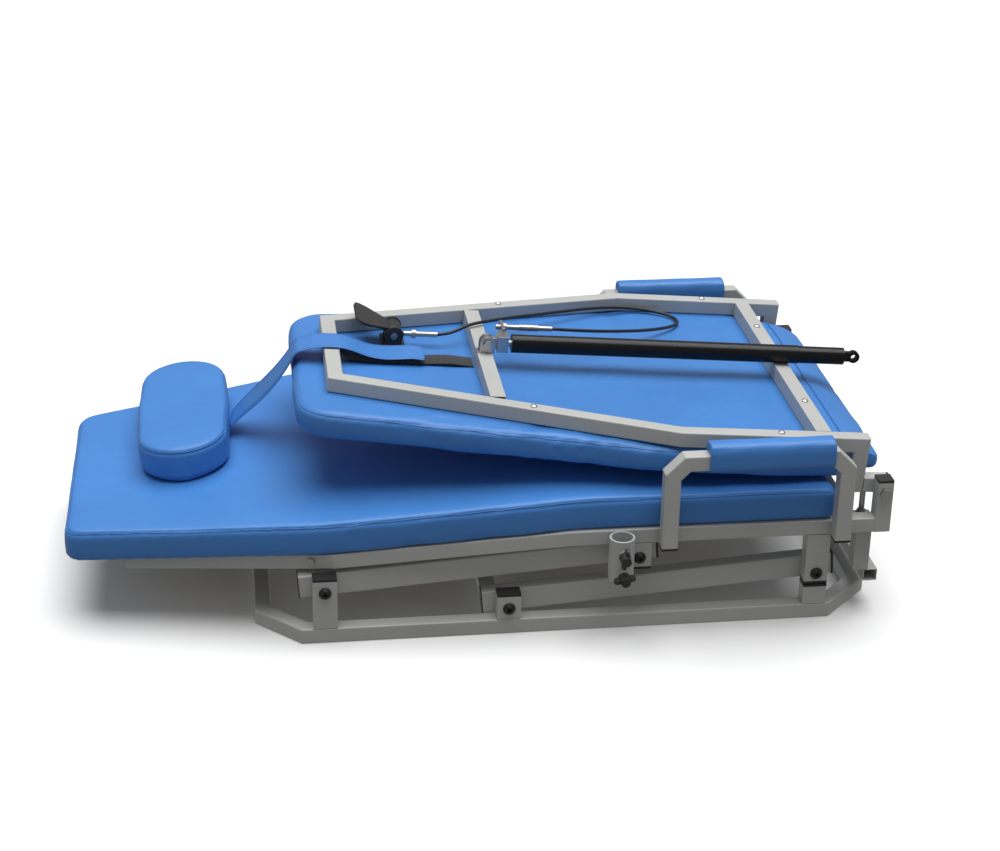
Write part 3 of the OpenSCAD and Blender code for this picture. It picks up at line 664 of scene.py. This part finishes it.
def make_frame_tubes():
    section = tube_section(TUBE, TUBE)
    mid = TUBE / 2
    near = [(62, -BASE_HALF), (796, -BASE_HALF), (865, -217)]
    base = offset_outline(near + mirrored(near) + [(0, 224), (0, -224)], mid)
    frame_tubes("base_loop_tube",
                [swept([(x, y, mid) for x, y in base], (0, 0, 1), section, True)],
                DRAW, "base", "base_loop")

    side = [(850.8, -RAIL_HALF, RAIL_LOW + mid), on_foot(0, -RAIL_HALF), on_foot(-321, -254),
            on_foot(-594, -180)]
    frame_tubes("seat_rail_tube", [swept(side + mirrored(side), (0, 0, 1), section)],
                DRAW, "seat", "seat_rails")

    arm = [(558.5, 134), (558.5, 240), (577.5, 259), (779.5, 259), (798.5, 240), (798.5, 134)]
    frame_tubes("armrest_tube",
                [swept([(x, y, z) for x, z in arm], (0, 1, 0), section)
                 for y in (-ARM_HALF, ARM_HALF)], DRAW, "seat", "armrest_frames")

    back = [(-36, -BACK_HALF, -11), (-36, -BACK_HALF, 59), (-288, -BACK_HALF, 59), (-747, -108, 59)]
    stubs = [swept([(-24.8, y, 0), (11, y, 0)], (0, 0, 1), section)
             for y in (-BACK_HALF, BACK_HALF)]
    frame_tubes("back_frame_tube", [swept(back + mirrored(back), (0, 1, 0), section)] + stubs,
                BACK, "backrest", "back_rails", "hinge_arms")

    leg_section = tube_section(TUBE, LEG_TALL, 2.6)
    for which, x, z in (("front", 94.5, 77), ("rear", 345, 39)):
        place = DRAW @ Matrix.Translation((x, 0, z)) @ Matrix.Rotation(LEG_LEAN, 4, "Y")
        runs = [swept([(-34, y, 0), (457, y, 0)], (0, 0, 1), leg_section)
                for y in (-BACK_HALF, BACK_HALF)]
        frame_tubes(which + "_leg_tube", runs, place, which + "_legs", which + "_leg_tubes")


make_frame_tubes()


# ---- release cable ----

CABLE = [
    (-588, 66, 66), (-566, 71, 69), (-538, 88, 75), (-505, 108, 75), (-470, 132, 72),
    (-430, 158, 68), (-385, 186, 64), (-340, 211, 61), (-297, 229, 58), (-256, 236, 55),
    (-222, 229, 53), (-202, 212, 52), (-199, 192, 52), (-212, 170, 54), (-238, 146, 58),
    (-272, 118, 65), (-308, 92, 73), (-345, 68, 81), (-382, 47, 89), (-425, 36, 94),
]
CABLE_D = 5


def make_cable():
    route = [BACK @ p for p in catmull(CABLE, 6)]
    verts, faces = tube(route, CABLE_D / 2 * MM, 14)
    cable = new_object("release_cable", verts, faces)
    dress(cable, "jacket")
    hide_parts("cable_jacket")
    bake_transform(cable)


make_cable()


# ---- seat cushion ----

def slope(x):
    """Drop of the foot part at x, eased over the knee."""
    reach = np.asarray(KNEE - x, float)
    ease = 45.0
    bend = (reach + ease) ** 2 / (4 * ease)
    return FOOT_SLOPE * np.where(reach > ease, reach, np.where(reach < -ease, 0, bend))


SEAT = [(-256, -193, 30), (90, -269, 260), (380, -285, 500), (798, -285, 12),
        (798, 285, 12), (380, 285, 500), (90, 269, 260), (-256, 193, 30)]
SEAT_LOW, SEAT_TOP = 152.4, 200.0
SEAT_SEAM = 194.0


PANEL_INSET, STAPLE_INSET = 34, 26
BOX_FACES = ((0, 3, 2, 1), (4, 5, 6, 7), (0, 1, 5, 4), (1, 2, 6, 5), (2, 3, 7, 6), (3, 0, 4, 7))


def make_panel(loop):
    """Plywood panel showing inside the cover's edge, under the seat."""
    inner = loop + inward(loop) * PANEL_INSET
    far = inner[inner[:, 1] > 0]
    far = far[np.argsort(far[:, 0])]
    xs = np.linspace(far[0, 0] + 2, far[-1, 0] - 2, 60)
    ys = np.interp(xs, far[:, 0], far[:, 1])
    verts = []
    for x, y in zip(xs, ys):
        z = SEAT_LOW - float(slope(x))
        verts += [(x, -y, z - 0.35), (x, y, z - 0.35), (x, y, z + 1), (x, -y, z + 1)]
    panel = new_object("seat_board_panel", verts, ring_faces(len(xs), 4), DRAW, smooth=False)
    dress(panel, "ply")
    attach(panel, "seat")


def make_staples(loop):
    """Staples that hold the cover's turned edge to the board, every few points of the outline."""
    verts, faces = [], []
    line = loop + inward(loop) * STAPLE_INSET
    along = np.roll(line, -1, 0) - line
    for i in range(0, len(line), 7):
        x, y = line[i]
        u = Vector((*along[i], 0)).normalized() * 5
        w = Vector((-u.y, u.x, 0)) * 0.12
        base = Vector((x, y, SEAT_LOW - float(slope(x))))
        at = len(verts)
        for dz in (-0.45, 0.4):
            verts += [base + a * u + b * w + Vector((0, 0, dz))
                      for a, b in ((-1, -1), (1, -1), (1, 1), (-1, 1))]
        faces += [tuple(at + k for k in f) for f in BOX_FACES]
    staples = new_object("seat_staples", verts, faces, DRAW, smooth=False)
    dress(staples, "zinc")
    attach(staples, "seat")


def make_seat():
    loop = rounded_outline(SEAT, 6)
    cushion = lofted("seat_cushion", loop, [
        (60, SEAT_LOW), (10, SEAT_LOW), (4, 153.0), (1.8, 155.5), (1.3, 162), (1.2, 175),
        (1.4, 188), (2.4, 194), (4.6, 197.4), (9, 198.8), (20, 199.3), (60, 199.4)])
    inflate(cushion, 5.5, lambda c: np.where(c[:, 2] < SEAT_LOW + 4, 1.0, 0.2), 1.6)
    seam_groove(cushion, loop, SEAT_SEAM, 1.5, 2.2, 0.35, 11)
    co = coords(cushion)
    # The top of the cover lies on flat foam, with a slow hand-laid unevenness
    top = co[:, 2] > SEAT_TOP - 6
    co[:, 2] += np.where(top, unevenness(co, 5, 9, 60, 190) * 0.09, 0)
    co[:, 2] = np.clip(co[:, 2], SEAT_LOW - 0.2, SEAT_TOP + 1.5)
    co[:, 2] -= slope(co[:, 0])
    set_coords(cushion, co)
    normal = inward(loop)
    high = [(x, y, SEAT_SEAM + 1.5 - float(slope(x))) for x, y in loop + normal * 2.6]
    seam_line("seat_top_seam", cushion, high, 0.9, -0.1, DRAW, "seat")
    low = [(x, y, SEAT_LOW + 7 - float(slope(x))) for x, y in loop + normal * 3]
    seam_line("seat_lower_seam", cushion, low, 0.6, -0.25, DRAW, "seat")
    cushion.data.transform(DRAW)
    dress(cushion, "vinyl")
    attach(cushion, "seat")
    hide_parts("seat_pad", "seat_board")
    make_panel(loop)
    make_staples(loop)


make_seat()


# ---- back cushion ----

BACKPAD = [(-802, -181, 58), (-310, -266, 240), (-52, -266, 8), (-52, -233, 6), (8, -233, 14),
           (8, 233, 14), (-52, 233, 6), (-52, 266, 8), (-310, 266, 240), (-802, 181, 58)]
BACK_LOW, BACK_HIGH = 6.0, 47.6
BACK_SEAM = 42.0


def hip_roll(x):
    """How far the rear face rolls down past the board's hip edge."""
    t = np.clip((np.asarray(x, float) + 46) / 54, 0, 1)
    return 19 * t ** 1.5


def make_back():
    loop = rounded_outline(BACKPAD, 6)
    cushion = lofted("back_cushion", loop, [
        (26, BACK_LOW + 1.0), (13, BACK_LOW + 1.6), (6.5, BACK_LOW + 3.4), (2.8, 13), (1.6, 20),
        (1.2, 28), (1.4, 37), (2.4, 42.5), (4.8, 45.6), (9, 46.6), (20, 47.0)])
    inflate(cushion, 5.2, lambda c: np.where(c[:, 2] > BACK_HIGH - 3, 0.9, 0.18), 2.0)
    seam_groove(cushion, loop, BACK_SEAM, 1.5, 2.2, 0.5, 23)
    co = coords(cushion)
    rear = co[:, 2] > BACK_SEAM + 1
    co[:, 2] += np.where(rear, unevenness(co, 8, 8, 70, 170) * 0.05, 0)
    co[:, 2] = np.clip(co[:, 2], BACK_LOW - 0.5, BACK_HIGH)
    share = (co[:, 2] - BACK_LOW) / (BACK_HIGH - BACK_LOW)
    co[:, 2] -= hip_roll(co[:, 0]) * np.clip(share, 0, 1)
    set_coords(cushion, co)
    high = [(x, y, BACK_SEAM + 1.5 - float(hip_roll(x)) * 0.85)
            for x, y in loop + inward(loop) * 2.6]
    seam_line("back_top_seam", cushion, high, 0.9, -0.1, BACK, "backrest")
    hip = [(-46, y, BACK_HIGH) for y in np.linspace(-226, 226, 80)]
    seam_line("back_hip_piping", cushion, hip, 1.5, 0.3, BACK, "backrest", closed=False)
    cushion.data.transform(BACK)
    dress(cushion, "vinyl")
    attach(cushion, "backrest")
    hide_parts("back_pad", "back_board")


make_back()


# ---- pillow and its strap ----

PILLOW_AT = (-89, 76)
PILLOW = (134, 326, 51)
PILLOW_Z = 200 - (KNEE + 89) * FOOT_SLOPE + 1.5


def make_pillow():
    w, l, t = PILLOW
    r = w / 2 - 0.5
    corners = [(-w / 2, -l / 2), (w / 2, -l / 2), (w / 2, l / 2), (-w / 2, l / 2)]
    loop = rounded_outline([(x, y, r) for x, y in corners], 4)
    cushion = lofted("head_pillow_soft", loop, [
        (14, 1.8), (7, 0.8), (3.0, 1.8), (1.8, 7), (1.4, 24), (1.8, 40), (3.4, 45.4), (8, 48.4),
        (18, 49.4), (40, 49.8)])
    inflate(cushion, 4, lambda c: np.where(c[:, 2] < 3.5, 0.7, 0.08), 3.0, 5.0)
    seam_groove(cushion, loop, 44.0, 1.6, 2.2, 0.7, 41)
    seam_groove(cushion, loop, 5.5, 1.6, 2.0, 1.0, 43)
    co = coords(cushion)
    co[:, 2] = np.clip(co[:, 2], 0.3, t + 0.8)
    set_coords(cushion, co)
    place = (DRAW @ Matrix.Translation((PILLOW_AT[0], PILLOW_AT[1], PILLOW_Z - 1.0))
             @ Matrix.Rotation(-FOOT_ANGLE, 4, "Y"))
    normal = inward(loop)
    high = [(x, y, 45.5) for x, y in loop + normal * 3]
    seam_line("pillow_top_seam", cushion, high, 0.9, -0.1, place, "headrest")
    low = [(x, y, 5.5) for x, y in loop + normal * 2]
    seam_line("pillow_lower_seam", cushion, low, 1.0, -0.1, place, "headrest")
    cushion.data.transform(place)
    dress(cushion, "vinyl")
    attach(cushion, "headrest")
    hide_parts("head_pillow")


make_pillow()


# Section of a flat strap, in widths and half thicknesses, thinner at both rims.
RIBBON = [(-0.5, -0.5), (-0.46, -1), (0, -1), (0.46, -1), (0.5, -0.5),
          (0.5, 0.5), (0.46, 1), (0, 1), (-0.46, 1), (-0.5, 0.5)]


def ribbon(line, across, width, thick):
    """Flat strap along a line; across is the width's direction at each point."""
    verts = []
    for i, p in enumerate(line):
        along = (line[min(i + 1, len(line) - 1)] - line[max(i - 1, 0)]).normalized()
        side = (across[i] - along * across[i].dot(along)).normalized()
        up = along.cross(side)
        verts += [p + side * (u * width) + up * (v * thick / 2) for u, v in RIBBON]
    return verts, ring_faces(len(line), len(RIBBON))


STRAP_Y = 12
STRAP_WIDTH, STRAP_THICK = 52, 2.2
STRAP_SAG, STRAP_TWIST = 9, 0.10
STRAP_OVER = [(-612, 57.5), (-630, 59.6), (-650, 58.0), (-672, 57.2), (-694, 60.5), (-714, 67.4),
              (-733, 72.2), (-752, 72.8), (-770, 71.4), (-786, 66.5), (-797, 61.0)]
FREE_STEPS, LINE_STEPS = 8, 4
HEM_AT, HEM_RADIUS = 22.5, 0.00045
BEND_BEFORE, BEND_AFTER = 0.012, 0.03

TAPE_Y = STRAP_Y - 5
TAPE_WIDTH, TAPE_THICK = 0.034, 0.0012
TAPE = [(-733, 60), (-722, 55.5), (-704, 51.8), (-670, 50.4), (-620, 50.2), (-595, 51.4),
        (-575, 52.0), (-560, 50.6), (-541, 49.0)]


def strap_line():
    """Middle of the strap in DRAW: over the back frame, then hanging free to the pillow."""
    to_draw = DRAW.inverted() @ BACK
    pts = [to_draw @ Vector((x, STRAP_Y, z)) for x, z in STRAP_OVER]
    start = pts[-1]
    end = Vector((PILLOW_AT[0] + PILLOW[0] / 2 - 2, PILLOW_AT[1] - 4, PILLOW_Z + 21))
    for k in range(1, FREE_STEPS + 1):
        t = k / FREE_STEPS
        p = start.lerp(end, t)
        p.z -= STRAP_SAG * math.sin(math.pi * t) * (1 - 0.3 * t)
        p.y = STRAP_Y + (end.y - STRAP_Y) * t * t * (3 - 2 * t)
        pts.append(p)
    return catmull(pts, LINE_STEPS), end


def make_strap():
    line, end = strap_line()
    free_from = (len(STRAP_OVER) - 1) * LINE_STEPS
    across = []
    for k in range(len(line)):
        t = max(0, (k - free_from) / (len(line) - 1 - free_from))
        across.append(Vector((0, 1, STRAP_TWIST * math.sin(math.pi * t))).normalized())
    verts, faces = ribbon(line, across, STRAP_WIDTH, STRAP_THICK)
    strap = new_object("head_strap_soft", verts, faces, DRAW)
    subdivide(strap)
    dress(strap, "vinyl")
    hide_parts("head_strap", "strap_tail")
    fold = Vector(joints["pillow_swing"]["pos_m"])
    toward = (DRAW @ end - fold).normalized()
    start, end = fold - toward * BEND_BEFORE, fold + toward * BEND_AFTER
    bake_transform(strap)
    # Stitched hem lines on both edges
    for which, side in (("near", -1), ("far", 1)):
        hem = [p + Vector(a) * side * HEM_AT + Vector((0, 0, 1.0)) for p, a in zip(line, across)]
        stitches = on_surface(strap, [DRAW @ p for p in hem], 0.00005)
        verts, faces = tube(stitches, HEM_RADIUS, 6)
        stitch = new_object("strap_stitch_" + which, verts, faces)
        dress(stitch, "vinyl_seam")
        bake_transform(stitch)


def make_tape():
    """Hook tape along the back cushion, with its ends under the frame's bars."""
    line = catmull([BACK @ Vector((x, TAPE_Y, z)) for x, z in TAPE], LINE_STEPS)
    verts, faces = ribbon(line, [Vector((0, 1, 0))] * len(line), TAPE_WIDTH, TAPE_THICK)
    tape = new_object("hook_tape_soft", verts, faces)
    dress(tape, "hook")
    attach(tape, "backrest")
    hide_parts("hook_tape")


make_strap()
make_tape()


# ---- release lever ----

# Paddle's outline in the lever's own mm, from its wide end's far corner to the barrel and back.
PADDLE = [(-63, 117, 9), (-44, 113, 14), (-14, 99, 8), (-8, 97, 2), (-8, 66, 2), (-14, 63, 8),
          (-44, 45, 14), (-63, 41, 9)]
LEVER_PIN = (-652, 0, 64)
LEVER_TILT = math.radians(22)


def make_lever():
    """Barrel on the lever's pin with a moulded paddle that widens towards the head end."""
    loop = rounded_outline(PADDLE, 1.5)
    paddle = lofted("release_paddle", loop,
                    [(1.4, 3.6), (0.3, 4.2), (0.0, 5.2), (0.3, 6.4), (1.4, 7.0)])
    line = [Vector((0, y, 0)) for y in (65.2, 66.4, 70, 93, 96.6, 97.8)]
    verts, faces = tube(line, [11.6, 12.9, 12.9, 12.9, 12.9, 11.6], 40)
    at = len(paddle.data.vertices)
    every = [v.co for v in paddle.data.vertices] + verts
    sides = [tuple(p.vertices) for p in paddle.data.polygons]
    sides += [tuple(i + at for i in f) for f in faces]
    bpy.data.objects.remove(paddle)
    place = BACK @ Matrix.Translation(LEVER_PIN) @ Matrix.Rotation(LEVER_TILT, 4, "Y")
    lever = new_object("release_paddle", every, sides, place)
    normals = lever.modifiers.new("normals", "WEIGHTED_NORMAL")
    normals.keep_sharp = False
    dress(lever, "moulded")
    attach(lever, "lever")
    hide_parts("release_lever")


make_lever()


# ---- armrest pads ----

SLEEVE_Z = 259.0                                    # middle of the armrest tube
SLEEVE_HALF, SLEEVE_UP, SLEEVE_DOWN = 17.2, 27.2, 13.4
SLEEVE_SQUARE = 0.62                                # power that squares the oval section
SLEEVE_EXTRA = 4.5                                  # how much it is longer than its CAD solid
SLEEVE_SIDES, SLEEVE_RINGS = 40, 60
TUBE_GRIP = 11.2                                    # just over half the tube, where the ends turn in
END_STEP = 1.2


def sleeve_section():
    """Rounded section of the sleeve, as (side, up) pairs, deeper above the tube than below."""
    section = []
    for k in range(SLEEVE_SIDES):
        a = 2 * math.pi * k / SLEEVE_SIDES
        c, s = math.cos(a), math.sin(a)
        reach = SLEEVE_UP if s > 0 else SLEEVE_DOWN
        section.append((math.copysign(abs(c) ** SLEEVE_SQUARE, c) * SLEEVE_HALF,
                        math.copysign(abs(s) ** SLEEVE_SQUARE, s) * reach))
    return section


def make_armrest(side, name, node):
    """Vinyl sleeve over foam on the armrest tube."""
    low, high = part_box(node)
    low, high = low / MM, high / MM
    mid_y, length = (low.y + high.y) / 2, high.x - low.x + SLEEVE_EXTRA
    section = sleeve_section()
    n, rings = len(section), SLEEVE_RINGS
    verts = []
    for i in range(rings + 1):
        t = i / rings
        x = low.x + length * t
        end = min(t, 1 - t) * length
        pull = 1 - 0.035 * math.exp(-end / 1.4)
        ruck = math.exp(-end / 16)
        for k, (u, v) in enumerate(section):
            gather = (1 + 0.018 * ruck * math.sin(k * 1.9 + 5 * t)
                      + 0.006 * math.sin(t * 17 + k * 0.6))
            verts.append((x, mid_y + u * pull * gather,
                          SLEEVE_Z + v * pull * gather - (0.6 if v > 0 else 0)))
    faces = ring_faces(rings + 1, n, capped=False)
    # Turned-in ends down to the tube
    for i, step in ((0, END_STEP), (rings, -END_STEP)):
        inner = len(verts)
        for u, v in section:
            verts.append((low.x + length * (i / rings) + step,
                          mid_y + max(-TUBE_GRIP, min(TUBE_GRIP, u)),
                          SLEEVE_Z + max(-TUBE_GRIP, min(TUBE_GRIP, v))))
        for k in range(n):
            m = (k + 1) % n
            quad = (i * n + k, inner + k, inner + m, i * n + m)
            faces.append(quad if i == 0 else quad[::-1])
    pad = new_object(name, verts, faces, SCALE)
    subdivide(pad)
    dress(pad, "vinyl")
    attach(pad, "seat")
    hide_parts(node)
    seam = [Vector((low.x + length * i / rings, mid_y + side * (SLEEVE_HALF - 2),
                    SLEEVE_Z - SLEEVE_DOWN + 3)) * MM for i in range(2, rings - 1)]
    verts, faces = tube(on_surface(pad, seam, 0.0), 0.0008, 6)
    welt = new_object(name + "_seam", verts, faces)
    dress(welt, "vinyl_seam")
    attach(welt, "seat")


make_armrest(-1, "near_armrest_sleeve", "near_armrest_pad")
make_armrest(1, "far_armrest_sleeve", "far_armrest_pad")


# ---- studio ----

def area_light(name, size, at, target, power):
    data = bpy.data.lights.new(name, "AREA")
    data.shape = "SQUARE"
    data.size = size
    data.energy = power
    obj = bpy.data.objects.new(name, data)
    scene.collection.objects.link(obj)
    obj.location = at
    obj.rotation_mode = "QUATERNION"
    obj.rotation_quaternion = (Vector(target) - Vector(at)).to_track_quat("-Z", "Y")


FLOOR_HALF = 30
WORLD_STRENGTH = 0.27
SUN_STRENGTH, SUN_ANGLE = 3.5, 60


def make_studio():
    """Pale floor under an even white world, a wide soft sun and a weak fill from the front."""
    v = FLOOR_HALF
    floor = new_object("floor", [(-v, -v, 0), (v, -v, 0), (v, v, 0), (-v, v, 0)],
                       [(0, 1, 2, 3)], smooth=False)
    mat, tree, bsdf = shader("pale_floor", Roughness=0.9, Specular_IOR_Level=0.1)
    shades = [(0.2, (0.86, 0.86, 0.86, 1)), (0.8, (0.88, 0.88, 0.88, 1))]
    link(tree, ramp(tree, noise(tree, 0.8, 2), shades), bsdf.inputs["Base Color"])
    floor.data.materials.append(mat)
    world = bpy.data.worlds.new("studio")
    world.use_nodes = True
    background = world.node_tree.nodes["Background"]
    background.inputs["Color"].default_value = (1, 1, 1, 1)
    background.inputs["Strength"].default_value = WORLD_STRENGTH
    scene.world = world
    # The floor throws no light back on the couch
    floor.visible_diffuse = False
    floor.visible_glossy = False
    sun = bpy.data.lights.new("soft_overhead", "SUN")
    sun.energy = SUN_STRENGTH
    sun.angle = math.radians(SUN_ANGLE)
    lamp = bpy.data.objects.new("soft_overhead", sun)
    scene.collection.objects.link(lamp)
    lamp.rotation_euler = (math.radians(-6), math.radians(4), 0)
    area_light("front_fill", 1.8, (-1.4, -2.8, 1.7), (0, 0, 0.2), 2)
    scene.view_settings.view_transform = "Standard"


make_studio()
